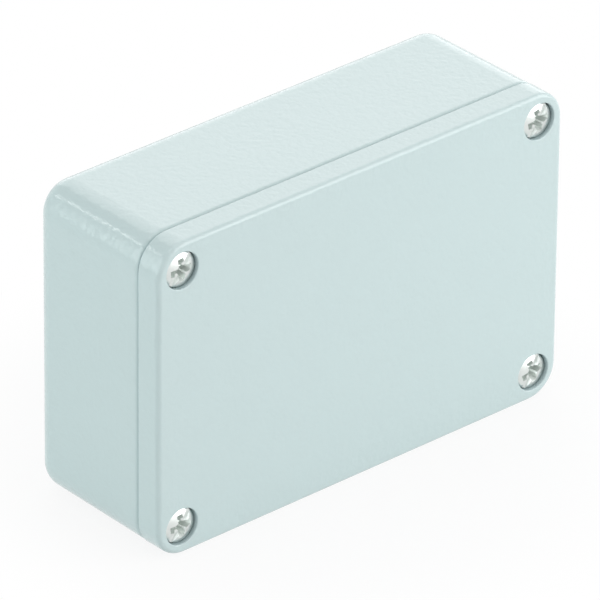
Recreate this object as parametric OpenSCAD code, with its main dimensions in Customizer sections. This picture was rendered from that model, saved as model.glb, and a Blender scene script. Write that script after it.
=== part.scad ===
// Painted die cast aluminium box, closed by a lid with four captive screws.
// The box stands on its long side with the lid to the front (-Y) and the wall face to the back (+Y).
// X runs along the length and Z runs up. The origin is on the floor, under the middle of the box.
// Each piece is drawn as the box lies on its back with the lid up, and is then stood up.

/* [Box] */
// Length of the box
box_l = 98; // [84:1:240]
// Height of the box as it stands on its long side
box_h = 65; // [56:1:180]
// Depth from the wall face to the lid's front face
box_d = 35; // [29:1:120]
// Radius of the long corners where the lid meets the base
corner_r = 6.5; // [5.5:0.5:9]
// Draft of the outer walls in degrees
draft = 0.5; // [0.25:0.25:1.5]
// Thickness of the base's walls at its rim
wall = 3.6; // [3.5:0.1:6]
// Thickness of the base's floor
floor_t = 3.2; // [2.6:0.1:6]
// Radius of the edge around the wall face
back_r = 4; // [1:0.5:4.5]
// Radius of the base's outer rim edge
rim_r = 1.2; // [0.3:0.1:1.2]

/* [Lid] */
// Depth of the lid's side
lid_d = 5.6; // [5.4:0.1:9]
// How far the lid stands out over the base on each side
lid_over = 0.1; // [0:0.05:0.4]
// Radius of the edge around the lid's front face
front_r = 1; // [0.5:0.1:2.5]
// Radius of the lid's edge at the parting line
lid_edge_r = 0.3; // [0.1:0.05:0.5]
// Thickness of the lid's plate over its pocket
plate_t = 3; // [2:0.1:5]
// Width of the rib between the gasket groove and the pocket
rib_w = 1.5; // [1:0.1:3]

/* [Seal] */
// Distance of the seal's centre line outside the chamber's wall
seal_line = 0.9; // [0.8:0.05:1.1]
// Width of the base's sealing tongue
tongue_w = 1.4; // [1:0.1:1.6]
// Height of the tongue above the parting plane
tongue_h = 1.5; // [0.8:0.1:2]
// Width of the gasket groove in the lid
groove_w = 2.8; // [2.4:0.1:3]
// Thickness of the gasket when the lid is closed
gasket_t = 1.4; // [0.8:0.1:2]
// Side clearance of the gasket in its groove
gasket_gap = 0.1; // [0.05:0.05:0.3]

/* [Lid screws] */
// Distance from the box's sides to the screw axes
screw_inset = 5.8; // [5.6:0.1:9]
// Nominal thread diameter
thread_d = 4; // [3:0.5:4]
// Thread pitch
thread_pitch = 0.7; // [0.5:0.1:0.8]
// Length of thread at the screw's end, which is also its captive travel
thread_l = 5; // [3:0.5:6]
// Diameter of the plain neck above the thread
neck_d = 3.1; // [2.4:0.1:3.2]
// Diameter of the screw head
head_d = 7; // [5.5:0.1:7.2]
// Height of the screw head at its middle
head_h = 2.6; // [2:0.1:3]
// Height of the head's dome above its edge
dome_h = 1; // [0.4:0.05:1]
// Depth of the head seat below the lid's front face
seat_depth = 2.9; // [2.4:0.1:3.4]
// Diameter of the head's recess in the lid
recess_d = 7.4; // [7.3:0.1:8]
// Radius of the recess's mouth
mouth_r = 0.25; // [0.1:0.05:0.6]
// Clearance of the screw's shank in its holes, on the diameter
shank_gap = 0.4; // [0.2:0.05:0.6]
// Clearance of the thread, which is drawn plain, on the diameter
thread_gap = 0.2; // [0.1:0.05:0.4]
// Chamfer at the screw's tip
tip_chamfer = 0.4; // [0.2:0.1:0.6]
// Depth of the cross recess in the head
cross_depth = 1.7; // [1:0.1:2]
// Width across the cross recess
cross_w = 4.6; // [3:0.1:5]
// Width of each wing of the cross recess
wing_w = 0.9; // [0.5:0.1:1.2]
// Width of the cone in the middle of the cross recess
cone_w = 2.7; // [1.5:0.1:3]

/* [Retaining rings] */
// Outer diameter of the ring that keeps a screw in the lid
ring_d = 7.2; // [6:0.1:7.4]
// Thickness of the ring
ring_t = 0.8; // [0.5:0.1:1]
// Clearance of the ring around the screw's neck and inside its recess, on the diameter
ring_gap = 0.2; // [0.1:0.05:0.4]
// Height of the ring's recess in the lid
ring_room = 1; // [0.8:0.1:1.3]

/* [Wall fixing] */
// Distance from a lid screw to the wall screw's hole beside it
fixing_step = 8.7; // [8.3:0.1:14]
// Diameter of the hole for a wall screw
fixing_d = 4.5; // [3.5:0.1:5.5]
// Diameter of the well for a wall screw's head
well_d = 8.4; // [7:0.1:8.6]
// Thickness of the floor under a wall screw's head
well_floor = 3.6; // [3:0.1:6]
// Metal between a well and the chamber
well_wall = 3.3; // [3:0.1:6]

/* [Chamber] */
// Radius of the chamber's corners
chamber_r = 3; // [2.2:0.1:4]
// Radius where the chamber's wall steps round a corner
step_r = 3; // [2.8:0.1:5]
// Distance from the chamber's end to the rail bosses
boss_inset = 7.6; // [6:0.1:20]
// Diameter of the rail bosses
boss_d = 7; // [6:0.5:9]
// Height of the rail bosses above the floor
boss_h = 4.5; // [3:0.5:10]
// Core diameter of the threads in the bosses
tap_d = 3.3; // [2.5:0.1:3.5]
// Depth of the tapped holes in the bosses
tap_l = 6.5; // [4:0.5:8]

/* [Earth terminal] */
// Distance of the earth screw from the middle of the box
earth_x = -16; // [-20:1:20]
// Diameter of the earth boss
earth_boss_d = 9; // [8:0.5:11]
// Height of the earth boss above the floor
earth_boss_h = 6; // [5:0.5:10]
// Width of the web between the earth boss and the wall beside it
earth_web = 1; // [0.5:0.5:4]
// Side of the square clamping plate
clamp_side = 9; // [8:0.5:10]
// Thickness of the clamping plate
clamp_t = 1.2; // [0.8:0.1:2]
// Outer diameter of the spring washer
spring_d = 7.4; // [6.5:0.1:8]
// Thickness of the spring washer
spring_t = 1; // [0.6:0.1:1.4]
// Diameter of the earth screw's head
earth_head_d = 7.8; // [7:0.1:8.5]
// Height of the earth screw's head
earth_head_h = 2.6; // [2:0.1:3.2]
// Length of the earth screw under its head
earth_l = 8; // [7:0.5:12]

/* [Hidden] */
$fn = 96;
cut = 1;                                    // how far a cutting shape runs past the face it opens
body_colour = "#c6d8d8";
steel_colour = "#c4c6c4";
brass_colour = "#c9a24a";
rubber_colour = "#3a3d3e";
nylon_colour = "#e9e6da";

parting = box_d - lid_d;                    // height of the parting plane over the wall face
slope = tan(draft);
half = [box_l / 2, box_h / 2];
corner_at = half - [corner_r, corner_r];    // centres of the long corners
screw_at = half - [screw_inset, screw_inset];
fixing_at = [screw_at.x, screw_at.y - fixing_step];

// Half sizes of the chamber: the core between the corner blocks, and the bays between the wells
inner = half - [lid_over + wall, lid_over + wall];
core = [screw_at.x - well_d / 2 - well_wall, inner.y];
bay = [inner.x, fixing_at.y - well_d / 2 - well_wall];
boss_x = core.x - boss_inset;
earth_at = [earth_x, -(inner.y - earth_boss_d / 2 - earth_web)];

// Heights in the lying frame
groove_top = parting + tongue_h + gasket_t;
pocket_top = box_d - plate_t;
seat_z = box_d - seat_depth;
thread_top = parting - thread_l;
screw_tip = thread_top - thread_l;
hole_end = screw_tip - 2 * thread_pitch;
ring_top = parting + ring_room;
earth_top = floor_t + earth_boss_h;

// A wall's reach at a height, from its value at the parting plane
function drafted(reach, z) = reach - slope * abs(parting - z);

// Half section of a casting's edge from height z_lo to z_hi. Its wall leans evenly between its two reaches,
// which are measured from the corner's centre, and both its edges are rounded.
module edge_profile(z_lo, z_hi, reach_lo, reach_hi, r_lo, r_hi) {
    lean = (reach_hi - reach_lo) / (z_hi - z_lo);
    arc_box = [1, 1.5];             // each arc runs a little past the end of its wall, inside the polygon
    s = sqrt(1 + lean * lean);
    centre_lo = [reach_lo + lean * r_lo - r_lo * s, z_lo + r_lo];
    centre_hi = [reach_hi - lean * r_hi - r_hi * s, z_hi - r_hi];
    polygon([
        [0, z_lo], [centre_lo.x, z_lo], centre_lo, centre_lo + r_lo / s * [1, -lean],
        centre_hi + r_hi / s * [1, -lean], centre_hi, [centre_hi.x, z_hi], [0, z_hi]
    ]);
    translate(centre_lo) intersection() {
        circle(r_lo);
        translate([0, -r_lo]) square(r_lo * arc_box);
    }
    translate(centre_hi) intersection() {
        circle(r_hi);
        translate([0, r_hi * (1 - arc_box.y)]) square(r_hi * arc_box);
    }
}

// Casting with a rounded rectangle plan, swept from the edge profile that is its child
module cast_slab(z_lo, z_hi) {
    translate([-corner_at.x, -corner_at.y, z_lo])
        cube([2 * corner_at.x, 2 * corner_at.y, z_hi - z_lo]);
    for (turn = [0, 180]) rotate([0, 0, turn]) {
        translate([corner_at.x, 0, 0]) rotate([90, 0, 0])
            linear_extrude(2 * corner_at.y, center = true) children();
        translate([0, corner_at.y, 0]) rotate([90, 0, 90])
            linear_extrude(2 * corner_at.x, center = true) children();
        translate([corner_at.x, corner_at.y, 0]) rotate_extrude(angle = 90) children();
        translate([-corner_at.x, corner_at.y, 0]) rotate([0, 0, 90])
            rotate_extrude(angle = 90) children();
    }
}

// Places its child at the four corners given by a half spacing
module at_corners(at) {
    for (x = [-1, 1], y = [-1, 1]) translate([x * at.x, y * at.y, 0]) children();
}

// Rounded rectangle from its half sizes
module rounded_rect(size, r) {
    square([2 * size.x, 2 * (size.y - r)], center = true);
    square([2 * (size.x - r), 2 * size.y], center = true);
    at_corners(size - [r, r]) circle(r);
}

// Outline of the chamber, grown all round: it steps in round the four corner blocks
module chamber_outline(grow = 0) {
    at = [core.x + grow, bay.y + grow];
    r = step_r - grow;
    difference() {
        union() {
            rounded_rect(core + [grow, grow], chamber_r + grow);
            rounded_rect(bay + [grow, grow], chamber_r + grow);
            at_corners(at + [r / 2, r / 2]) square([r, r], center = true);
        }
        at_corners(at + [r, r]) circle(r);
    }
}

// Band of a given width along the seal's centre line
module seal_band(width) {
    difference() {
        chamber_outline(seal_line + width / 2);
        chamber_outline(seal_line - width / 2);
    }
}

// Stands a piece up from the lying frame
module stand_up() {
    translate([0, box_d / 2, half.y]) rotate([90, 0, 0]) children();
}

// Boss for a mounting rail or plate, with its foot on the floor
module rail_boss() {
    translate([0, 0, floor_t - cut]) cylinder(d = boss_d, h = boss_h + cut);
}

// Blind hole down from the top of a boss
module tapped_hole(top, diameter, depth) {
    translate([0, 0, top - depth]) cylinder(d = diameter, h = depth + cut);
}

// Earth boss, joined to the long wall beside it
module earth_boss() {
    translate([0, 0, floor_t - cut]) cylinder(d = earth_boss_d, h = earth_top - floor_t + cut);
    translate([-earth_boss_d / 2, -earth_boss_d / 2 - earth_web - cut, floor_t - cut])
        cube([earth_boss_d, earth_boss_d / 2 + earth_web + cut, earth_top - floor_t + cut]);
}

// Hole for a lid screw in the base: a clear pilot for the neck, then the thread
module lid_screw_hole() {
    translate([0, 0, thread_top]) cylinder(d = thread_d + shank_gap, h = thread_l + cut);
    translate([0, 0, hole_end]) cylinder(d = thread_d, h = thread_top - hole_end + cut);
}

// Through hole for a wall screw, with the well that its head goes down
module fixing_hole() {
    translate([0, 0, -cut]) cylinder(d = fixing_d, h = well_floor + 2 * cut);
    translate([0, 0, well_floor]) cylinder(d = well_d, h = parting - well_floor + cut);
}

module base() {
    rim = corner_r - lid_over;
    color(body_colour) stand_up() {
        difference() {
            union() {
                difference() {
                    cast_slab(0, parting)
                        edge_profile(0, parting, drafted(rim, 0), rim, back_r, rim_r);
                    translate([0, 0, floor_t]) linear_extrude(box_d) chamber_outline();
                }
                translate([0, 0, parting - cut]) linear_extrude(tongue_h + cut) seal_band(tongue_w);
                for (x = [-boss_x, boss_x]) translate([x, 0, 0]) rail_boss();
                translate(earth_at) earth_boss();
            }
            at_corners(screw_at) lid_screw_hole();
            at_corners(fixing_at) fixing_hole();
            for (x = [-boss_x, boss_x]) translate([x, 0, 0])
                tapped_hole(floor_t + boss_h, tap_d, tap_l);
            translate(earth_at) tapped_hole(earth_top, thread_d, earth_l);
        }
    }
}

// Half section of the recess for a screw head, with a rounded mouth
module recess_profile() {
    r = recess_d / 2;
    difference() {
        union() {
            translate([0, seat_z]) square([r, seat_depth + cut]);
            translate([0, box_d - mouth_r]) square([r + mouth_r, mouth_r + cut]);
        }
        translate([r + mouth_r, box_d - mouth_r]) circle(mouth_r);
    }
}

// Everything that is cut from the lid at a screw
module lid_screw_cuts() {
    rotate_extrude() recess_profile();
    translate([0, 0, parting]) cylinder(d = thread_d + shank_gap, h = lid_d);
    translate([0, 0, parting - cut]) cylinder(d = ring_d + 2 * ring_gap, h = ring_room + cut);
}

module lid() {
    color(body_colour) stand_up() difference() {
        cast_slab(parting, box_d)
            edge_profile(parting, box_d, corner_r, drafted(corner_r, box_d), lid_edge_r, front_r);
        translate([0, 0, parting - cut]) linear_extrude(groove_top - parting + cut) seal_band(groove_w);
        translate([0, 0, parting - cut]) linear_extrude(pocket_top - parting + cut)
            chamber_outline(seal_line - groove_w / 2 - rib_w);
        at_corners(screw_at) lid_screw_cuts();
    }
}

module gasket() {
    color(rubber_colour) stand_up() translate([0, 0, groove_top - gasket_t])
        linear_extrude(gasket_t) seal_band(groove_w - 2 * gasket_gap);
}

// Cross recess of a screw driver, sunk from the top of a head
module cross_recess(top) {
    translate([0, 0, top - cross_depth]) {
        for (turn = [0, 90]) rotate([0, 0, turn])
            translate([-cross_w / 2, -wing_w / 2, 0]) cube([cross_w, wing_w, cross_depth + cut]);
        cylinder(d1 = wing_w, d2 = cone_w, h = cross_depth + cut);
    }
}

// Captive screw with a domed head, a thin neck and a thread at its end
module lid_screw() {
    dome_r = (pow(head_d / 2, 2) + pow(dome_h, 2)) / (2 * dome_h);
    thread_r = (thread_d - thread_gap) / 2;
    difference() {
        rotate_extrude() {
            intersection() {
                translate([0, seat_z]) square([head_d / 2, head_h]);
                translate([0, seat_z + head_h - dome_r]) circle(dome_r);
            }
            translate([0, thread_top - cut]) square([neck_d / 2, seat_z - thread_top + 2 * cut]);
            polygon([
                [0, screw_tip], [thread_r - tip_chamfer, screw_tip], [thread_r, screw_tip + tip_chamfer],
                [thread_r, thread_top], [0, thread_top]
            ]);
        }
        cross_recess(seat_z + head_h);
    }
}

// Ring around a screw's neck, which the top of its thread cannot pass
module retaining_ring() {
    translate([0, 0, ring_top - ring_t]) difference() {
        cylinder(d = ring_d, h = ring_t);
        translate([0, 0, -cut]) cylinder(d = neck_d + ring_gap, h = ring_t + 2 * cut);
    }
}

// Places its child at one lid screw. Side and level are -1 or 1
module at_screw(side, level) {
    stand_up() translate([side * screw_at.x, level * screw_at.y, 0]) children();
}

module screw(side, level) {
    color(steel_colour) at_screw(side, level) lid_screw();
}

module ring(side, level) {
    color(nylon_colour) at_screw(side, level) retaining_ring();
}

module screw_top_left() { screw(-1, 1); }
module screw_top_right() { screw(1, 1); }
module screw_bottom_left() { screw(-1, -1); }
module screw_bottom_right() { screw(1, -1); }
module ring_top_left() { ring(-1, 1); }
module ring_top_right() { ring(1, 1); }
module ring_bottom_left() { ring(-1, -1); }
module ring_bottom_right() { ring(1, -1); }

// Flat ring with a square or round outside, bored for the earth screw
module washer(size, thickness, square_sides = false) {
    difference() {
        if (square_sides) {
            translate([-size / 2, -size / 2, 0]) cube([size, size, thickness]);
        } else {
            cylinder(d = size, h = thickness);
        }
        translate([0, 0, -cut]) cylinder(d = thread_d + shank_gap, h = thickness + 2 * cut);
    }
}

module earth_clamp() {
    color(brass_colour) stand_up() translate([earth_at.x, earth_at.y, earth_top])
        washer(clamp_side, clamp_t, square_sides = true);
}

module earth_spring_washer() {
    color(steel_colour) stand_up() translate([earth_at.x, earth_at.y, earth_top + clamp_t])
        washer(spring_d, spring_t);
}

module earth_screw() {
    under_head = earth_top + clamp_t + spring_t;
    color(brass_colour) stand_up() translate([earth_at.x, earth_at.y, under_head]) difference() {
        union() {
            cylinder(d = earth_head_d, h = earth_head_h);
            translate([0, 0, -earth_l]) cylinder(d = thread_d - thread_gap, h = earth_l + cut);
        }
        cross_recess(earth_head_h);
    }
}

base();
lid();
gasket();
screw_top_left();
screw_top_right();
screw_bottom_left();
screw_bottom_right();
ring_top_left();
ring_top_right();
ring_bottom_left();
ring_bottom_right();
earth_screw();
earth_spring_washer();
earth_clamp();
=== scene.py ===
"""Painted die cast aluminium box with a lid on four captive screws.

The castings keep their drawn shape and get their paint here. The lid screws, their retaining rings, the
seal and the earth terminal are modelled in full. All lengths are in metres: +X runs along the box, +Y into
the wall behind it, +Z up. Properties and values that say mm hold millimetres.
"""
import math

import bmesh
import bpy
from bpy.props import FloatProperty, FloatVectorProperty, PointerProperty
from mathutils import Matrix, Vector


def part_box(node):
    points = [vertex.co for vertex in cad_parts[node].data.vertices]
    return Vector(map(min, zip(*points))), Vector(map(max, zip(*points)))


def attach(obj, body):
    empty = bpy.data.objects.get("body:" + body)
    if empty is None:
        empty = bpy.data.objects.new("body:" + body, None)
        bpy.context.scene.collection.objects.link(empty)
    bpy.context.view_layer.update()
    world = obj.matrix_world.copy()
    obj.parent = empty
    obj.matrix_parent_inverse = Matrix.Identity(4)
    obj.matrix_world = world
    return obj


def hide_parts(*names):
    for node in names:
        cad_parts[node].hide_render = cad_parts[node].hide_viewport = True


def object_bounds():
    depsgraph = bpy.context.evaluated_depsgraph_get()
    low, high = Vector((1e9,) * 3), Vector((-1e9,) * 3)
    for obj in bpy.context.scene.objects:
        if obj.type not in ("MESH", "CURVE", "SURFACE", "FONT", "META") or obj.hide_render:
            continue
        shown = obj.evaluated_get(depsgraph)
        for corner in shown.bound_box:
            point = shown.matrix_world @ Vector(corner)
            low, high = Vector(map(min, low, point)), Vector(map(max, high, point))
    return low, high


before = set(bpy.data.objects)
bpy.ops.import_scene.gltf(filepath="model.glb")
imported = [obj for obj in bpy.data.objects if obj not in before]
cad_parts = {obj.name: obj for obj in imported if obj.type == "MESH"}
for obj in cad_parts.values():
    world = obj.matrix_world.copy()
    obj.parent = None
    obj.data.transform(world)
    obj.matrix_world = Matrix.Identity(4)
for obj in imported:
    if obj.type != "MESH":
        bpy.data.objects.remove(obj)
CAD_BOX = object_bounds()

bl_info = {
    "name": "Die cast box",
    "version": (1, 0, 0),
    "blender": (4, 5, 0),
    "location": "3D View > Sidebar > Die cast box",
    "description": "Paints a die cast box and models its screws, seal and earth terminal",
    "category": "Object",
}

MM = 0.001
CORNERS = ("top_left", "top_right", "bottom_left", "bottom_right")

# Radius in mm of the lid's screw recesses, and the painted shade that darkens the coat on their walls
RECESS_R = 3.7
RECESS_PAINTED_SHADE = (0.82, 0.84, 0.86)

# Darker and lighter patches of the raw casting
BARE_DARK = (0.56, 0.56, 0.57, 1)
BARE_LIGHT = (0.73, 0.73, 0.73, 1)

# Depths in mm of the pits in the raw casting, and of the scratches on bright metal
PITS_H = 0.03
SCRATCH_H = 0.008

# Screw recess in mm: widths of the wings and of the slot and radii of the cone, each at the cutter's top and
# foot, the length of the slot, and how far the cutter rises over the head
WINGS = (1.9, 0.5)
SLOT = (1.8, 0.8)
CONE = (1.6, 0.5)
SLOT_L = 9
OVER = 1.0

# How far the ends of the wings lean out over their depth
LEAN = math.tan(math.radians(26.5))

# Depth of a metric thread as a share of its pitch, and the angle of its flanks
THREAD_SHARE = 0.6134
FLANK = math.radians(30)

# Edges between faces that meet at more than this angle are shaded sharp
SHARP = math.radians(35)

# Softboxes: direction from the box, distance and side in metres, power in watts, colour. None stands near
# the camera, so edges that face the camera stay darker than the faces beside them.
WHITE = (1, 1, 1)
SOFTBOXES = (
    ("softbox left", (-0.494, 0.652, 0.576), 0.8, 0.08, 0.1, WHITE),
    ("softbox behind", (0.576, 0.652, 0.494), 0.9, 1.0, 4.0, WHITE),
    ("softbox above", (0, 0, 1), 0.9, 0.7, 1.85, WHITE),
    ("softbox low left", (-0.95, 0.2, 0.15), 0.8, 0.9, 5.1, (0.93, 1, 1)),
    ("softbox low right", (0.6, -0.8, 0.15), 0.8, 0.9, 8.2, WHITE),
)


# Materials

class Graph:
    """Shader nodes of one material or group. An input is given as a value, or as a socket to link."""

    def __init__(self, tree):
        self.tree = tree
        tree.nodes.clear()

    def add(self, kind, inputs=(), **settings):
        node = self.tree.nodes.new(kind)
        for key, value in settings.items():
            setattr(node, key, value)
        for key, value in dict(inputs).items():
            self.feed(node.inputs[key], value)
        return node

    def feed(self, socket, value):
        if isinstance(value, bpy.types.NodeSocket):
            self.tree.links.new(value, socket)
        else:
            socket.default_value = value

    def math(self, operation, a, b=0.0):
        return self.add("ShaderNodeMath", {0: a, 1: b}, operation=operation).outputs[0]

    def vector(self, operation, a, *more):
        """Vector math. A length comes out as a number."""
        node = self.add("ShaderNodeVectorMath", dict(enumerate((a, *more))), operation=operation)
        return node.outputs["Value" if operation == "LENGTH" else "Vector"]

    def axes(self, vector):
        """The parts of a vector, by the names of the axes."""
        return self.add("ShaderNodeSeparateXYZ", {"Vector": vector}).outputs

    def step(self, value, low, high):
        """Smooth step of a value from 0 at low to 1 at high."""
        node = self.add("ShaderNodeMapRange", {"Value": value, "From Min": low, "From Max": high},
                        interpolation_type="SMOOTHSTEP")
        return node.outputs["Result"]

    def mix(self, factor, a, b, kind="Color"):
        """Mix of two colours, numbers (Float) or normals (Vector)."""
        data_type = {"Color": "RGBA", "Float": "FLOAT", "Vector": "VECTOR"}[kind]
        node = self.add("ShaderNodeMix", data_type=data_type)
        sockets = {s.identifier: s for s in node.inputs}
        for name, value in (("Factor_Float", factor), (f"A_{kind}", a), (f"B_{kind}", b)):
            self.feed(sockets[name], value)
        return next(s for s in node.outputs if s.identifier == f"Result_{kind}")

    def blend(self, factor, a, b):
        return self.mix(factor, a, b, "Float")

    def noise(self, where, scale, detail=2.0, roughness=0.5):
        node = self.add("ShaderNodeTexNoise", {"Vector": where, "Scale": scale, "Detail": detail,
                                               "Roughness": roughness})
        return node.outputs["Fac"]

    def bump(self, height, distance):
        return self.add("ShaderNodeBump", {"Height": height, "Distance": distance}).outputs["Normal"]

    def around(self, where, axis_x, axis_z):
        """Distance from an axis along Y that is repeated on all four sides of the middle of the box."""
        axes = self.axes(self.vector("ABSOLUTE", where))
        flat = self.add("ShaderNodeCombineXYZ", {"X": self.math("SUBTRACT", axes["X"], axis_x),
                                                 "Z": self.math("SUBTRACT", axes["Z"], axis_z)})
        return self.vector("LENGTH", flat.outputs["Vector"])

    def place(self, height=0.0):
        """Object coordinates, measured from a height over the floor."""
        coordinates = self.add("ShaderNodeTexCoord").outputs["Object"]
        node = self.add("ShaderNodeMapping", {"Vector": coordinates, "Location": (0, 0, -height)})
        return node.outputs["Vector"]

    def group(self, tree, where, values=()):
        """A shader group at a place, with its own values."""
        return self.add("ShaderNodeGroup", {"Vector": where, **dict(values)}, node_tree=tree).outputs

    def seen(self):
        """1 for rays that show the room to the camera, straight, in a reflection or through glass."""
        path = self.add("ShaderNodeLightPath").outputs
        mirrored = self.math("MAXIMUM", path["Is Glossy Ray"], path["Is Transmission Ray"])
        return self.math("MAXIMUM", path["Is Camera Ray"], mirrored)

    def finish(self, **inputs):
        """Closes a material with its Principled shader. Inputs are named with underscores for spaces."""
        shader = self.add("ShaderNodeBsdfPrincipled", {k.replace("_", " "): v for k, v in inputs.items()})
        self.add("ShaderNodeOutputMaterial", {"Surface": shader.outputs["BSDF"]})


def new_material(name):
    material = bpy.data.materials.new(name)
    material.use_nodes = True
    return material, Graph(material.node_tree)


def new_group(name, inputs, outputs):
    """An empty shader group. Inputs map names to defaults, outputs list names, all of them numbers."""
    tree = bpy.data.node_groups.new(name, "ShaderNodeTree")
    graph = Graph(tree)
    tree.interface.new_socket("Vector", in_out="INPUT", socket_type="NodeSocketVector")
    for key, value in inputs.items():
        tree.interface.new_socket(key, in_out="INPUT", socket_type="NodeSocketFloat").default_value = value
    for key in outputs:
        tree.interface.new_socket(key, in_out="OUTPUT", socket_type="NodeSocketFloat")
    return tree, graph, tree.nodes.new("NodeGroupInput").outputs


def inset_group():
    """How far a point lies inside a rounded rectangle that is centred in XZ."""
    name = "Inset from outline"
    if name in bpy.data.node_groups:
        return bpy.data.node_groups[name]
    tree, g, given = new_group(name, {"Half X": 0.049, "Half Z": 0.0325, "Radius": 0.0065}, ["Inset"])
    axes = g.axes(g.vector("ABSOLUTE", given["Vector"]))
    straight = {a: g.math("SUBTRACT", given[f"Half {a}"], given["Radius"]) for a in "XZ"}
    past = [g.math("SUBTRACT", axes[a], straight[a]) for a in "XZ"]
    corner = g.add("ShaderNodeCombineXYZ", {a: g.math("MAXIMUM", p, 0.0) for a, p in zip("XZ", past)})
    length = g.vector("LENGTH", corner.outputs["Vector"])
    reach = g.math("ADD", length, g.math("MINIMUM", g.math("MAXIMUM", *past), 0.0))
    g.add("NodeGroupOutput", {"Inset": g.math("SUBTRACT", given["Radius"], reach)})
    return tree


def peel_group():
    """Orange peel of a powder coat: broad waves with finer grain on them."""
    name = "Orange peel"
    if name in bpy.data.node_groups:
        return bpy.data.node_groups[name]
    inputs = {"Wave": 800.0, "Grain": 2200.0, "Grain Share": 0.13, "Patches": 60.0}
    tree, g, given = new_group(name, inputs, ["Height", "Patch"])
    waves = g.noise(given["Vector"], given["Wave"], detail=1.0)
    grain = g.noise(given["Vector"], given["Grain"], detail=1.0)
    patch = g.noise(given["Vector"], given["Patches"], detail=3.0)
    g.add("NodeGroupOutput", {"Height": g.blend(given["Grain Share"], waves, grain), "Patch": patch})
    return tree


def skin_group():
    """Skin of a raw die casting: cloudy flow marks and fine pitting."""
    name = "Casting skin"
    if name in bpy.data.node_groups:
        return bpy.data.node_groups[name]
    tree, g, given = new_group(name, {"Flow": 90.0, "Pits": 1500.0}, ["Cloud", "Height"])
    bend = g.add("ShaderNodeTexNoise", {"Vector": given["Vector"], "Scale": 40.0, "Detail": 2.0})
    lean = g.vector("MULTIPLY", bend.outputs["Color"], (0.006, 0.006, 0.006))
    moved = g.vector("ADD", given["Vector"], lean)
    cloud = g.noise(moved, given["Flow"], detail=5.0, roughness=0.6)
    pits = g.noise(given["Vector"], given["Pits"], detail=3.0)
    g.add("NodeGroupOutput", {"Cloud": g.step(cloud, 0.3, 0.7), "Height": g.math("ADD", pits, cloud)})
    return tree


def casting_material(paint, name, bare_inset, bare_depths, seam, shade, axis=None):
    """Powder coat outside and bare metal inside. Bare metal starts at an inset from the outline, between two
    depths. Except on top, painted shade on the base or a painted highlight on the lid lies on the coat
    between the seam's two depths, where the castings meet. Painted shade darkens the coat in the narrow
    screw recesses round an axis. Insets and depths are in mm."""
    material, g = new_material(name)
    low, high = CAD_BOX
    half_x, half_z = (high[0] - low[0]) / 2, (high[2] - low[2]) / 2
    where = g.place(half_z)
    inset = g.group(inset_group(), where, {"Half X": half_x, "Half Z": half_z})["Inset"]
    depth = g.axes(where)["Y"]
    edge = 0.15
    bare = g.step(inset, (bare_inset - edge) * MM, (bare_inset + edge) * MM)
    for limit, side in zip(bare_depths, (1, -1)):
        past = g.step(depth, (limit - side * edge) * MM, (limit + side * edge) * MM)
        bare = g.math("MULTIPLY", bare, past)

    peel = g.group(peel_group(), where)
    skin = g.group(skin_group(), where)
    coat = g.mix(peel["Patch"], [c * 0.985 for c in paint.colour] + [1], list(paint.colour) + [1])
    # Painted light at the seam where the castings meet: painted shade on the base, a painted highlight on
    # the lid. It fades out on faces that look up, where light falls into the seam.
    facing = g.axes(g.add("ShaderNodeTexCoord").outputs["Normal"])["Z"]
    painted_seam_light = g.math("MULTIPLY", g.step(depth, seam[0] * MM, seam[1] * MM), g.step(facing, 0.8, 0.3))
    coat = g.mix(painted_seam_light, coat, g.vector("MULTIPLY", coat, shade))
    if axis:
        # Painted shade: the coat is darkened on the walls of the screw recesses round the axis
        radius = g.around(where, abs(axis[0]), abs(axis[1] - half_z))
        inside = g.step(radius, (RECESS_R + 0.1) * MM, (RECESS_R + 0.02) * MM)
        coat = g.mix(inside, coat, g.vector("MULTIPLY", coat, RECESS_PAINTED_SHADE))
    metal = g.mix(skin["Cloud"], BARE_DARK, BARE_LIGHT)
    coat_rough = g.blend(peel["Height"], paint.roughness - 0.05, paint.roughness + 0.05)
    metal_rough = g.blend(skin["Cloud"], 0.5, 0.36)
    waves = g.bump(peel["Height"], paint.peel * MM)
    pits = g.bump(skin["Height"], PITS_H * MM)
    g.finish(Base_Color=g.mix(bare, coat, metal), Metallic=bare,
             Roughness=g.blend(bare, coat_rough, metal_rough), Normal=g.mix(bare, waves, pits, "Vector"))
    return material


def marks_group():
    """Marks on turned or rolled metal: fine scratches, cloudy patches, and rings round an axis along Y. The
    same axis is repeated on all four sides of the middle of the box."""
    name = "Metal marks"
    if name in bpy.data.node_groups:
        return bpy.data.node_groups[name]
    inputs = {"Axis X": 0.0, "Axis Z": 0.0, "Rings": 7000.0, "Turned": 1.0, "Scratches": 2500.0,
              "Patches": 450.0}
    tree, g, given = new_group(name, inputs, ["Height", "Patch"])
    scratch = g.noise(given["Vector"], given["Scratches"], detail=3.0, roughness=0.6)
    radius = g.around(given["Vector"], given["Axis X"], given["Axis Z"])
    ring = g.add("ShaderNodeTexNoise", {"W": g.math("MULTIPLY", radius, given["Rings"]), "Scale": 1.0,
                                        "Detail": 1.0}, noise_dimensions="1D").outputs["Fac"]
    height = g.math("ADD", scratch, g.math("MULTIPLY", ring, given["Turned"]))
    patch = g.step(g.noise(given["Vector"], given["Patches"], detail=3.0), 0.3, 0.7)
    g.add("NodeGroupOutput", {"Height": height, "Patch": patch})
    return tree


def metal_material(name, colour, roughness, axis, turned=1.0):
    """Bright metal with fine scratches and turned marks round an axis."""
    material, g = new_material(name)
    middle = CAD_BOX[1][2] / 2
    values = {"Axis X": abs(axis[0]), "Axis Z": abs(axis[1] - middle), "Turned": turned}
    marks = g.group(marks_group(), g.place(middle), values)
    dull = [c * 0.88 for c in colour]
    g.finish(Base_Color=g.mix(marks["Patch"], dull + [1], list(colour) + [1]), Metallic=1.0,
             Roughness=g.blend(marks["Patch"], roughness + 0.07, roughness - 0.04),
             Normal=g.bump(marks["Height"], SCRATCH_H * MM))
    return material


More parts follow.
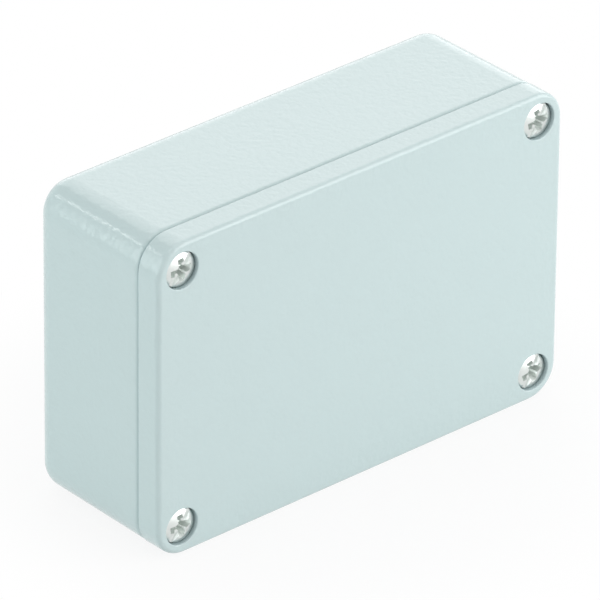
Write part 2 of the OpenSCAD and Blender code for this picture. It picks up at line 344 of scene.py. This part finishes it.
def grain_group():
    """Grain of moulded rubber and plastic: fine matt pits and faint flow."""
    name = "Moulded grain"
    if name in bpy.data.node_groups:
        return bpy.data.node_groups[name]
    tree, g, given = new_group(name, {"Pits": 4000.0, "Flow": 220.0}, ["Height", "Patch"])
    pits = g.noise(given["Vector"], given["Pits"], detail=2.0)
    patch = g.step(g.noise(given["Vector"], given["Flow"], detail=4.0), 0.25, 0.75)
    g.add("NodeGroupOutput", {"Height": pits, "Patch": patch})
    return tree


def moulded_material(name, colour, lighter, roughness, pit):
    """Rubber or plastic. Its patches are lighter by a share, and its grain is pit mm deep."""
    material, g = new_material(name)
    grain = g.group(grain_group(), g.place())
    light = [c * (1 + lighter) for c in colour]
    g.finish(Base_Color=g.mix(grain["Patch"], list(colour) + [1], light + [1]),
             Roughness=g.blend(grain["Patch"], roughness, roughness + 0.1),
             Normal=g.bump(grain["Height"], pit * MM))
    return material


# Shapes. A turned part is drawn in millimetres round +Z, with its head up, and then stood in its place.

def bevel(bm, edges, width, segments=3, affect="EDGES"):
    bmesh.ops.bevel(bm, geom=edges, offset=width, offset_type="OFFSET", affect=affect, segments=segments,
                    profile=0.5, material=-1, clamp_overlap=True)


def close(bm):
    """Merges doubles, and turns all faces outwards."""
    bmesh.ops.remove_doubles(bm, verts=bm.verts, dist=1e-4)
    bmesh.ops.dissolve_degenerate(bm, edges=bm.edges, dist=1e-5)
    bmesh.ops.recalc_face_normals(bm, faces=bm.faces)


def turned(profile, ball=None, ring=False, steps=64):
    """A solid turned round Z. The profile lists radius, height and edge rounding. Ball is the radius of the
    dome that stands for the first edge. A ring's profile is closed."""
    bm = bmesh.new()
    verts = [bm.verts.new((r, 0, z)) for r, z, _ in profile]
    pairs = list(zip(verts, verts[1:])) + ([(verts[-1], verts[0])] if ring else [])
    for pair in pairs[1:] if ball else pairs:
        bm.edges.new(pair)
    if ball:
        pole, rim = verts[:2]
        bmesh.ops.spin(bm, geom=[pole], cent=(0, 0, pole.co.z - ball), axis=(0, 1, 0),
                       angle=math.asin(rim.co.x / ball), steps=12)
        bmesh.ops.remove_doubles(bm, verts=bm.verts, dist=1e-4)
    bmesh.ops.spin(bm, geom=bm.verts[:] + bm.edges[:], cent=(0, 0, 0), axis=(0, 0, 1), angle=2 * math.pi,
                   steps=steps, use_merge=True)
    close(bm)
    for r, z, rounding in profile:
        if rounding:
            rim = [e for e in bm.edges
                   if all(abs(v.co.z - z) < 1e-3 and abs(v.co.xy.length - r) < 1e-3 for v in e.verts)]
            bevel(bm, rim, rounding)
    return bm


def thread(pitch, crest, low, high, tip):
    """A right-hand thread between two heights, with a chamfer at its low end."""
    depth = THREAD_SHARE * pitch
    rise = depth * math.tan(FLANK)
    root, flat, steps = crest - depth, pitch / 8, 40
    turns = math.ceil((high - low) / pitch) + 2
    start = low - 1.5 * pitch
    bm = bmesh.new()
    verts = [bm.verts.new((r, 0, start + z)) for r, z in
             ((root, 0), (crest, rise), (crest, rise + flat), (root, 2 * rise + flat), (root, pitch))]
    edges = [bm.edges.new(pair) for pair in zip(verts, verts[1:])]
    bmesh.ops.spin(bm, geom=verts + edges, cent=(0, 0, 0), axis=(0, 0, 1), dvec=(0, 0, pitch / steps),
                   angle=2 * math.pi * turns, steps=steps * turns)
    bmesh.ops.remove_doubles(bm, verts=bm.verts, dist=1e-3)
    for z, side in ((low, -1), (high, 1)):
        bmesh.ops.bisect_plane(bm, geom=bm.verts[:] + bm.edges[:] + bm.faces[:], plane_co=(0, 0, z),
                               plane_no=(0, 0, side), clear_outer=True, dist=1e-5)
        bmesh.ops.holes_fill(bm, edges=[e for e in bm.edges if e.is_boundary and
                                        all(abs(v.co.z - z) < 1e-3 for v in e.verts)], sides=0)
    for v in bm.verts:
        most = crest - tip + v.co.z - low
        if v.co.xy.length > most:
            v.co.xy *= most / v.co.xy.length
    bmesh.ops.recalc_face_normals(bm, faces=bm.faces)
    return bm


def wedge(bm, top, foot, low, high, turn):
    """Adds a bar through the Z axis. Its length and width differ at its top and foot."""
    made = bmesh.ops.create_cube(bm, size=1)["verts"]
    for half, (length, width) in ((1, top), (-1, foot)):
        bmesh.ops.scale(bm, verts=[v for v in made if v.co.z * half > 0], vec=(length, width, high - low))
    bmesh.ops.rotate(bm, verts=made, cent=(0, 0, 0), matrix=Matrix.Rotation(math.radians(turn), 3, "Z"))
    bmesh.ops.translate(bm, verts=made, vec=(0, 0, (low + high) / 2))


def cross_cutter(top, ball, reach, depth, slot=0.0):
    """Cutter for a cross recess in a dome: four wings round a cone. The leaning ends of the wings meet the
    dome at the reach. A slot of another depth can run across the head between the wings."""
    drop = ball - math.sqrt(ball * ball - reach * reach)
    foot = reach - LEAN * (depth - drop)
    ends = foot + LEAN * (depth + OVER)
    bm = bmesh.new()
    bmesh.ops.create_cone(bm, cap_ends=True, segments=32, radius1=CONE[1], radius2=CONE[0],
                          depth=depth + OVER)
    bmesh.ops.translate(bm, verts=bm.verts, vec=(0, 0, top + (OVER - depth) / 2))
    for turn in (0, 90):
        wedge(bm, (2 * ends, WINGS[0]), (2 * foot, WINGS[1]), top - depth, top + OVER, turn)
    if slot:
        wedge(bm, (SLOT_L, SLOT[0]), (SLOT_L, SLOT[1]), top - slot, top - slot + OVER, 45)
    return bm


def combine(bm, other, operation):
    """A shape with another cut away from it or joined to it."""
    pair = []
    for shape in (bm, other):
        mesh = bpy.data.meshes.new("blank")
        shape.to_mesh(mesh)
        shape.free()
        pair.append(bpy.data.objects.new("blank", mesh))
        bpy.context.scene.collection.objects.link(pair[-1])
    modifier = pair[0].modifiers.new("combine", "BOOLEAN")
    modifier.object = pair[1]
    modifier.operation = operation
    modifier.solver = "EXACT"
    modifier.use_self = True
    result = bmesh.new()
    result.from_object(pair[0], bpy.context.evaluated_depsgraph_get())
    for blank in pair:
        bpy.data.meshes.remove(blank.data)
    if not result.faces:
        raise RuntimeError("two shapes combined to nothing")
    return result


def stand(bm, x, y, z, turn=0.0):
    """Turns a shape about its axis, and moves it from its own millimetres to its place in the box."""
    turned_to = Matrix.Rotation(math.pi / 2, 4, "X") @ Matrix.Rotation(turn, 4, "Z")
    matrix = Matrix.Translation((x, y, z)) @ turned_to @ Matrix.Scale(MM, 4)
    bmesh.ops.transform(bm, matrix=matrix, verts=bm.verts)
    return bm


def piece(name, bm, body, material, node):
    """Makes a finished piece that rides on a body and stands for a CAD node."""
    mesh = bpy.data.meshes.new(name)
    bm.to_mesh(mesh)
    bm.free()
    mesh.shade_smooth()
    mesh.set_sharp_from_angle(angle=SHARP)
    mesh.materials.append(material)
    made = bpy.data.objects.new(name, mesh)
    bpy.context.scene.collection.objects.link(made)
    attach(made, body)
    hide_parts(node)


def foot(node):
    """Middle of the back of a node's CAD box."""
    low, high = (Vector(v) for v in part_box(node))
    return (low.x + high.x) / 2, high.y, (low.z + high.z) / 2


def seat(node, head_h):
    """Middle of the face under a screw's head, from the screw's CAD box."""
    x, _, z = foot(node)
    return x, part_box(node)[0][1] + head_h * MM, z


# Settings

class PaintSettings(bpy.types.PropertyGroup):
    colour: FloatVectorProperty(name="Paint colour", description="Linear colour of the powder coat",
                                default=(0.547, 0.66, 0.662), subtype="COLOR", min=0, max=1)
    roughness: FloatProperty(name="Paint roughness", description="Middle roughness of the powder coat",
                             default=0.13, min=0, max=1, subtype="FACTOR")
    peel: FloatProperty(name="Orange peel (mm)", description="Height of the coat's waves", default=0.09,
                        min=0, max=0.2, precision=4)


class ScrewSettings(bpy.types.PropertyGroup):
    head: FloatProperty(name="Head diameter (mm)", description="Diameter of a lid screw's domed head",
                        default=7.1, min=5.5, max=7.2)
    dome: FloatProperty(name="Dome height (mm)", description="Height of the dome over the head's side",
                        default=0.75, min=0.4, max=1)
    reach: FloatProperty(name="Recess reach (mm)", description="From the screw's axis to the end of a wing",
                         default=2.4, min=1.5, max=2.6)
    depth: FloatProperty(name="Recess depth (mm)", description="Depth of the cross recess", default=2.0,
                         min=1, max=2.1)
    pitch: FloatProperty(name="Thread pitch (mm)", description="Pitch of the lid screws' thread",
                         default=0.7, min=0.5, max=0.8)
    steel: FloatVectorProperty(name="Steel colour", description="Linear colour of screws and spring washer",
                               default=(0.74, 0.775, 0.755), subtype="COLOR", min=0, max=1)
    roughness: FloatProperty(name="Steel roughness", description="Middle roughness of the polished steel",
                             default=0.32, min=0.05, max=1, subtype="FACTOR")
    angles: FloatVectorProperty(name="Recess angles (deg)", size=4, default=(4, 11, 6, 17),
                                description="Turn of each screw's recess: top left, top right, bottom left, "
                                "bottom right")
    slot: FloatProperty(name="Slot depth (mm)", description="Depth of the slot across the head", default=0.8,
                        min=0, max=1.2)


class RingSettings(bpy.types.PropertyGroup):
    colour: FloatVectorProperty(name="Nylon colour", description="Linear colour of the retaining rings",
                                default=(0.72, 0.70, 0.62), subtype="COLOR", min=0, max=1)
    rounding: FloatProperty(name="Ring rounding (mm)", description="Radius of the rings' edges",
                            default=0.18, min=0.02, max=0.35)


class SealSettings(bpy.types.PropertyGroup):
    colour: FloatVectorProperty(name="Rubber colour", description="Linear colour of the seal",
                                default=(0.045, 0.047, 0.05), subtype="COLOR", min=0, max=1)
    rounding: FloatProperty(name="Seal rounding (mm)", description="Radius of the seal's four edges",
                            default=0.3, min=0.1, max=0.6)


class EarthSettings(bpy.types.PropertyGroup):
    brass: FloatVectorProperty(name="Brass colour", description="Linear colour of the earth screw and clamp",
                               default=(0.72, 0.52, 0.24), subtype="COLOR", min=0, max=1)
    gap: FloatProperty(name="Spring gap", description="Angle of the gap in the spring washer",
                       default=math.radians(9), min=math.radians(2), max=math.radians(30), subtype="ANGLE")


class StageSettings(bpy.types.PropertyGroup):
    brightness: FloatProperty(name="Brightness", description="Factor on the power of all softboxes",
                              default=1, min=0, max=3)
    ambient: FloatProperty(name="Ambient light", description="Strength of the white room around the box",
                           default=0.3, min=0, max=1, subtype="FACTOR")
    shadow: FloatProperty(name="Shadow", description="How strongly the floor shows the box's shadow",
                          default=0.12, min=0, max=1, subtype="FACTOR")


# Operators

class ENCLOSURE_OT_paint_castings(bpy.types.Operator):
    """Give the base and the lid their powder coat, with bare metal inside"""
    bl_idname = "enclosure.paint_castings"
    bl_label = "Paint castings"

    # Inset and depths of the bare metal and depths of the seam in mm, then the colour factor of the painted
    # light at the seam: painted shade on the base, a painted highlight on the lid's rear edge
    BASE = 2, (-14, 15.5), (-11.3, -11.7), (0.55, 0.6, 0.64)
    LID = 1.2, (-14.55, 0), (-12.3, -12.05), (1.15, 1.15, 1.15)

    def execute(self, context):
        paint = context.scene.box_paint
        x, _, z = foot("screw_top_left")
        for node, values, axis in (("base", self.BASE, None), ("lid", self.LID, (x, z))):
            material = casting_material(paint, f"painted {node}", *values, axis)
            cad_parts[node].material_slots[0].material = material
        return {"FINISHED"}


class ENCLOSURE_OT_make_screws(bpy.types.Operator):
    """Model the four lid screws: domed heads with a cross recess and a slot, necks and threads"""
    bl_idname = "enclosure.make_screws"
    bl_label = "Make lid screws"

    # Height of the CAD head, and how much higher the dome stands here, level with the lid
    HEAD_H, RISE = 2.6, 0.3
    # Rounding of the head's rim and of its foot, and how far the neck runs into the thread
    RIM, FOOT, LAP = 0.6, 0.15, 0.3
    NECK_R = 1.55
    THREAD_R, THREAD_L = 1.9, 5
    TIP = 0.5

    def execute(self, context):
        screws = context.scene.box_screws
        shape = self.shape(screws)
        x, _, z = seat("screw_top_left", self.HEAD_H)
        material = metal_material("polished steel", screws.steel, screws.roughness, (x, z))
        for corner, angle in zip(CORNERS, screws.angles):
            node = f"screw_{corner}"
            bm = stand(shape.copy(), *seat(node, self.HEAD_H), math.radians(angle))
            piece(f"lid_screw_{corner}", bm, node, material, node)
        shape.free()
        return {"FINISHED"}

    def shape(self, screws):
        r = screws.head / 2
        ball = (r * r + screws.dome ** 2) / (2 * screws.dome)
        front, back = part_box("screw_top_left")
        low = self.HEAD_H - (back[1] - front[1]) / MM
        high = low + self.THREAD_L
        top = self.HEAD_H + self.RISE
        end = high - self.LAP
        bm = turned([(0, top, 0), (r, top - screws.dome, self.RIM), (r, 0, self.FOOT), (self.NECK_R, 0, 0),
                     (self.NECK_R, end, 0), (0, end, 0)], ball=ball, steps=72)
        cutter = cross_cutter(top, ball, screws.reach, screws.depth, screws.slot)
        bm = combine(bm, cutter, "DIFFERENCE")
        close(bm)
        bm = combine(bm, thread(screws.pitch, self.THREAD_R, low, high, self.TIP), "UNION")
        close(bm)
        return bm


class ENCLOSURE_OT_make_rings(bpy.types.Operator):
    """Model the nylon rings that keep the screws in the lid"""
    bl_idname = "enclosure.make_rings"
    bl_label = "Make retaining rings"

    THICK = 0.8
    INNER, OUTER = 1.65, 3.6

    def execute(self, context):
        rings = context.scene.box_rings
        material = moulded_material("ring nylon", rings.colour, 0.08, 0.42, 0.01)
        profile = [(r, z, rings.rounding) for r, z in ((self.INNER, 0), (self.OUTER, 0),
                                                       (self.OUTER, self.THICK), (self.INNER, self.THICK))]
        for corner in CORNERS:
            node = f"ring_{corner}"
            bm = stand(turned(profile, ring=True), *foot(node))
            piece(f"retaining_ring_{corner}", bm, node, material, node)
        return {"FINISHED"}


class ENCLOSURE_OT_make_seal(bpy.types.Operator):
    """Model the rubber seal in the lid: one section swept along its stepped path"""
    bl_idname = "enclosure.make_seal"
    bl_label = "Make seal"

    # Half sizes of the middle line's core and of its bays, and the radii of its outer and inner corners
    CORE_X, CORE_Z = 36.6, 29.7
    BAY_X, BAY_Z = 46.2, 11.4
    OUTER_R, INNER_R = 3.9, 2.1
    WIDTH = 2.6

    def execute(self, context):
        seal = context.scene.box_seal
        low, high = (Vector(v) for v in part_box("gasket"))
        bm = self.section((high.y - low.y) / MM, seal.rounding)
        self.sweep(bm)
        for axis in "XZ":
            bmesh.ops.mirror(bm, geom=bm.verts[:] + bm.edges[:] + bm.faces[:], matrix=Matrix.Identity(4),
                             merge_dist=1e-3, axis=axis)
        close(bm)
        matrix = Matrix.Translation((low + high) / 2) @ Matrix.Scale(MM, 4)
        bmesh.ops.transform(bm, matrix=matrix, verts=bm.verts)
        material = moulded_material("seal rubber", seal.colour, 0.3, 0.6, 0.02)
        piece("seal", bm, "lid", material, "gasket")
        return {"FINISHED"}

    def section(self, thick, rounding):
        """Outline of the seal's section, in the XY plane at the middle of the right side."""
        bm = bmesh.new()
        bmesh.ops.create_grid(bm, x_segments=1, y_segments=1, size=0.5)
        bmesh.ops.scale(bm, verts=bm.verts, vec=(self.WIDTH, thick, 1))
        bevel(bm, bm.verts[:], rounding, affect="VERTICES")
        bmesh.ops.translate(bm, verts=bm.verts, vec=(self.BAY_X, 0, 0))
        bmesh.ops.delete(bm, geom=bm.faces[:], context="FACES_ONLY")
        return bm

    def sweep(self, bm):
        """Draws the section along a quarter of the path, from the middle of the right side to the top's."""
        out, turn = self.OUTER_R, self.INNER_R
        step_x, step_z = self.CORE_X + turn, self.BAY_Z + turn
        left_turn, right_turn = (0, -1, 0), (0, 1, 0)
        end = bm.edges[:]
        for run, centre, axis in (
            ((0, self.BAY_Z - out), (self.BAY_X - out, self.BAY_Z - out), left_turn),
            ((step_x - self.BAY_X + out, 0), (step_x, step_z), right_turn),
            ((0, self.CORE_Z - out - step_z), (self.CORE_X - out, self.CORE_Z - out), left_turn),
            ((out - self.CORE_X, 0), None, None),
        ):
            made = bmesh.ops.extrude_edge_only(bm, edges=end)["geom"]
            verts = [v for v in made if isinstance(v, bmesh.types.BMVert)]
            end = [e for e in made if isinstance(e, bmesh.types.BMEdge)]
            bmesh.ops.translate(bm, verts=verts, vec=(run[0], 0, run[1]))
            if centre:
                made = bmesh.ops.spin(bm, geom=verts + end, cent=(centre[0], 0, centre[1]), axis=axis,
                                      angle=math.pi / 2, steps=10)["geom_last"]
                end = [e for e in made if isinstance(e, bmesh.types.BMEdge)]


class ENCLOSURE_OT_make_earth(bpy.types.Operator):
    """Model the earth terminal: brass screw, spring washer and square clamp"""
    bl_idname = "enclosure.make_earth"
    bl_label = "Make earth terminal"

    # The screw's head, its rounding at the rim and the foot, its recess and its thread, then the bore of the
    # washer and the clamp
    HEAD_R, HEAD_H, CROWN = 3.9, 2.6, 0.55
    RIM, FOOT = 0.7, 0.15
    REACH, DEPTH = 2.2, 1.7
    THREAD_R, LENGTH, LAP, TIP = 1.9, 8, 0.2, 0.5
    BORE_R = 2.2

    def execute(self, context):
        earth = context.scene.box_earth
        screws = context.scene.box_screws
        x, y, z = seat("earth_screw", self.HEAD_H)
        brass = metal_material("earth brass", earth.brass, 0.3, (x, z))
        steel = metal_material("spring steel", screws.steel, 0.34, (x, z), turned=0.4)
        pitch = screws.pitch
        for name, node, bm, slot, material in (
            ("earth_screw_brass", "earth_screw", self.screw(pitch), "terminal_brass", brass),
            ("spring_washer", "earth_spring_washer", self.washer(earth.gap), "stainless_steel", steel),
            ("square_clamp", "earth_clamp", self.clamp(), "terminal_brass", brass),
        ):
            at, turn = ((x, y, z), math.radians(25)) if node == "earth_screw" else (foot(node), 0)
            piece(name, stand(bm, *at, turn), "base", material, node)
        return {"FINISHED"}

    def screw(self, pitch):
        r, h, crown = self.HEAD_R, self.HEAD_H, self.CROWN
        ball = (r * r + crown * crown) / (2 * crown)
        bm = turned([(0, h, 0), (r, h - crown, self.RIM), (r, 0, self.FOOT), (0, 0, 0)], ball=ball)
        bm = combine(bm, cross_cutter(h, ball, self.REACH, self.DEPTH), "DIFFERENCE")
        bm = combine(bm, thread(pitch, self.THREAD_R, -self.LENGTH, self.LAP, self.TIP), "UNION")
        close(bm)
        return bm

    def washer(self, gap):
        """Split ring of a square section that climbs a little from one end to the other."""
        inner, outer, thick = self.BORE_R, 3.7, 0.85
        rounding, climb, steps = 0.12, 0.15, 60
        bm = bmesh.new()
        bmesh.ops.create_grid(bm, x_segments=1, y_segments=1, size=0.5)
        bmesh.ops.scale(bm, verts=bm.verts, vec=(outer - inner, thick, 1))
        bevel(bm, bm.verts[:], rounding, segments=2, affect="VERTICES")
        bmesh.ops.rotate(bm, verts=bm.verts, cent=(0, 0, 0), matrix=Matrix.Rotation(math.pi / 2, 3, "X"))
        bmesh.ops.translate(bm, verts=bm.verts, vec=((inner + outer) / 2, 0, thick / 2))
        bmesh.ops.spin(bm, geom=bm.faces[:] + bm.edges[:] + bm.verts[:], cent=(0, 0, 0), axis=(0, 0, 1),
                       dvec=(0, 0, climb / steps), angle=2 * math.pi - gap, steps=steps)
        bmesh.ops.holes_fill(bm, edges=[e for e in bm.edges if e.is_boundary], sides=0)
        close(bm)
        return bm

    def clamp(self):
        """Square plate with a bored middle, rounded corners and broken edges."""
        side, thick, corner, broken = 9.0, 1.2, 0.8, 0.14
        bm = bmesh.new()
        bmesh.ops.create_cube(bm, size=1)
        bmesh.ops.scale(bm, verts=bm.verts, vec=(side, side, thick))
        bevel(bm, [e for e in bm.edges if abs(e.verts[0].co.z - e.verts[1].co.z) > thick / 2], corner)
        hole = bmesh.new()
        bmesh.ops.create_cone(hole, cap_ends=True, segments=48, radius1=self.BORE_R, radius2=self.BORE_R,
                              depth=4)
        bm = combine(bm, hole, "DIFFERENCE")
        close(bm)
        bevel(bm, [e for e in bm.edges if e.calc_face_angle(0) > math.radians(60)], broken, segments=2)
        bmesh.ops.translate(bm, verts=bm.verts, vec=(0, 0, thick / 2))
        return bm


class ENCLOSURE_OT_set_stage(bpy.types.Operator):
    """Build the camera, the softboxes, the white room and the floor"""
    bl_idname = "enclosure.set_stage"
    bl_label = "Set stage"

    # The camera's focal length in mm, its place, and its right and up directions
    LENS = 537.969
    EYE = (-0.94989, -1.07759, 0.84835)
    RIGHT, UP = (0.753266, -0.657661, 0.008562), (0.320045, 0.37788, 0.86878)

    # Distances from the middle of the floor where the box's shadow ends and where it is full
    SHADOW_ZONE = (0.078, 0.045)

    def execute(self, context):
        stage = context.scene.box_stage
        scene = context.scene
        self.camera(scene)
        self.lamps(scene, stage)
        self.room(scene, stage)
        self.floor(scene, stage)
        scene.view_settings.view_transform = "Standard"
        return {"FINISHED"}

    def camera(self, scene):
        data = bpy.data.cameras.new("camera")
        data.lens = self.LENS
        data.sensor_width = 36
        data.clip_end = 20
        camera = bpy.data.objects.new("camera", data)
        right, up = Vector(self.RIGHT), Vector(self.UP)
        turn = Matrix((right, up, right.cross(up))).transposed().to_4x4()
        camera.matrix_world = Matrix.Translation(self.EYE) @ turn
        scene.collection.objects.link(camera)
        scene.camera = camera

    def lamps(self, scene, stage):
        target = Vector((0, 0, 0.03))
        for name, direction, distance, side, power, colour in SOFTBOXES:
            data = bpy.data.lights.new(name, "AREA")
            data.color = colour
            data.size = side
            data.energy = power * stage.brightness
            lamp = bpy.data.objects.new(name, data)
            lamp.location = target + Vector(direction).normalized() * distance
            lamp.rotation_euler = (target - lamp.location).to_track_quat("-Z", "Y").to_euler()
            scene.collection.objects.link(lamp)

    def room(self, scene, stage):
        world = bpy.data.worlds.new("white room")
        world.use_nodes = True
        scene.world = world
        g = Graph(world.node_tree)
        strength = g.blend(g.seen(), stage.ambient, 1.0)
        light = g.add("ShaderNodeBackground", {"Strength": strength, "Color": (1, 1, 1, 1)})
        g.add("ShaderNodeOutputWorld", {"Surface": light.outputs["Background"]})

    def floor(self, scene, stage):
        bm = bmesh.new()
        bmesh.ops.create_grid(bm, x_segments=8, y_segments=8, size=4)
        mesh = bpy.data.meshes.new("floor")
        bm.to_mesh(mesh)
        bm.free()
        floor = bpy.data.objects.new("floor", mesh)
        scene.collection.objects.link(floor)
        material, g = new_material("pale floor")
        away = g.vector("LENGTH", g.place())
        near = g.math("MULTIPLY", g.step(away, *self.SHADOW_ZONE), stage.shadow)
        white = g.math("MULTIPLY", g.seen(), g.math("SUBTRACT", 1.0, near))
        matt = g.add("ShaderNodeBsdfDiffuse", {"Color": (0.86, 0.86, 0.86, 1)}).outputs["BSDF"]
        glow = g.add("ShaderNodeEmission", {"Color": (1, 1, 1, 1), "Strength": 1.0}).outputs["Emission"]
        both = g.add("ShaderNodeMixShader", {"Fac": white, 1: matt, 2: glow})
        g.add("ShaderNodeOutputMaterial", {"Surface": both.outputs["Shader"]})
        mesh.materials.append(material)


OPERATORS = (ENCLOSURE_OT_set_stage, ENCLOSURE_OT_paint_castings, ENCLOSURE_OT_make_screws,
             ENCLOSURE_OT_make_rings, ENCLOSURE_OT_make_seal, ENCLOSURE_OT_make_earth)
SETTINGS = (("box_stage", StageSettings), ("box_paint", PaintSettings), ("box_screws", ScrewSettings),
            ("box_rings", RingSettings), ("box_seal", SealSettings), ("box_earth", EarthSettings))


class ENCLOSURE_PT_box(bpy.types.Panel):
    """Sizes, colours and steps of the die cast box"""
    bl_idname = "ENCLOSURE_PT_box"
    bl_label = "Die cast box"
    bl_space_type = "VIEW_3D"
    bl_region_type = "UI"
    bl_category = "Die cast box"

    def draw(self, context):
        layout = self.layout
        for name, kind in SETTINGS:
            group = getattr(context.scene, name)
            for key in kind.__annotations__:
                layout.prop(group, key)
        for operator in OPERATORS:
            layout.operator(operator.bl_idname)


def register():
    for kind in (*(k for _, k in SETTINGS), *OPERATORS, ENCLOSURE_PT_box):
        bpy.utils.register_class(kind)
    for name, kind in SETTINGS:
        setattr(bpy.types.Scene, name, PointerProperty(type=kind))


def unregister():
    for name, _ in SETTINGS:
        delattr(bpy.types.Scene, name)
    for kind in (ENCLOSURE_PT_box, *reversed(OPERATORS), *(k for _, k in reversed(SETTINGS))):
        bpy.utils.unregister_class(kind)


def main():
    register()
    bpy.ops.enclosure.set_stage()
    bpy.ops.enclosure.paint_castings()
    bpy.ops.enclosure.make_screws()
    bpy.ops.enclosure.make_rings()
    bpy.ops.enclosure.make_seal()
    bpy.ops.enclosure.make_earth()


if __name__ == "__main__":
    main()
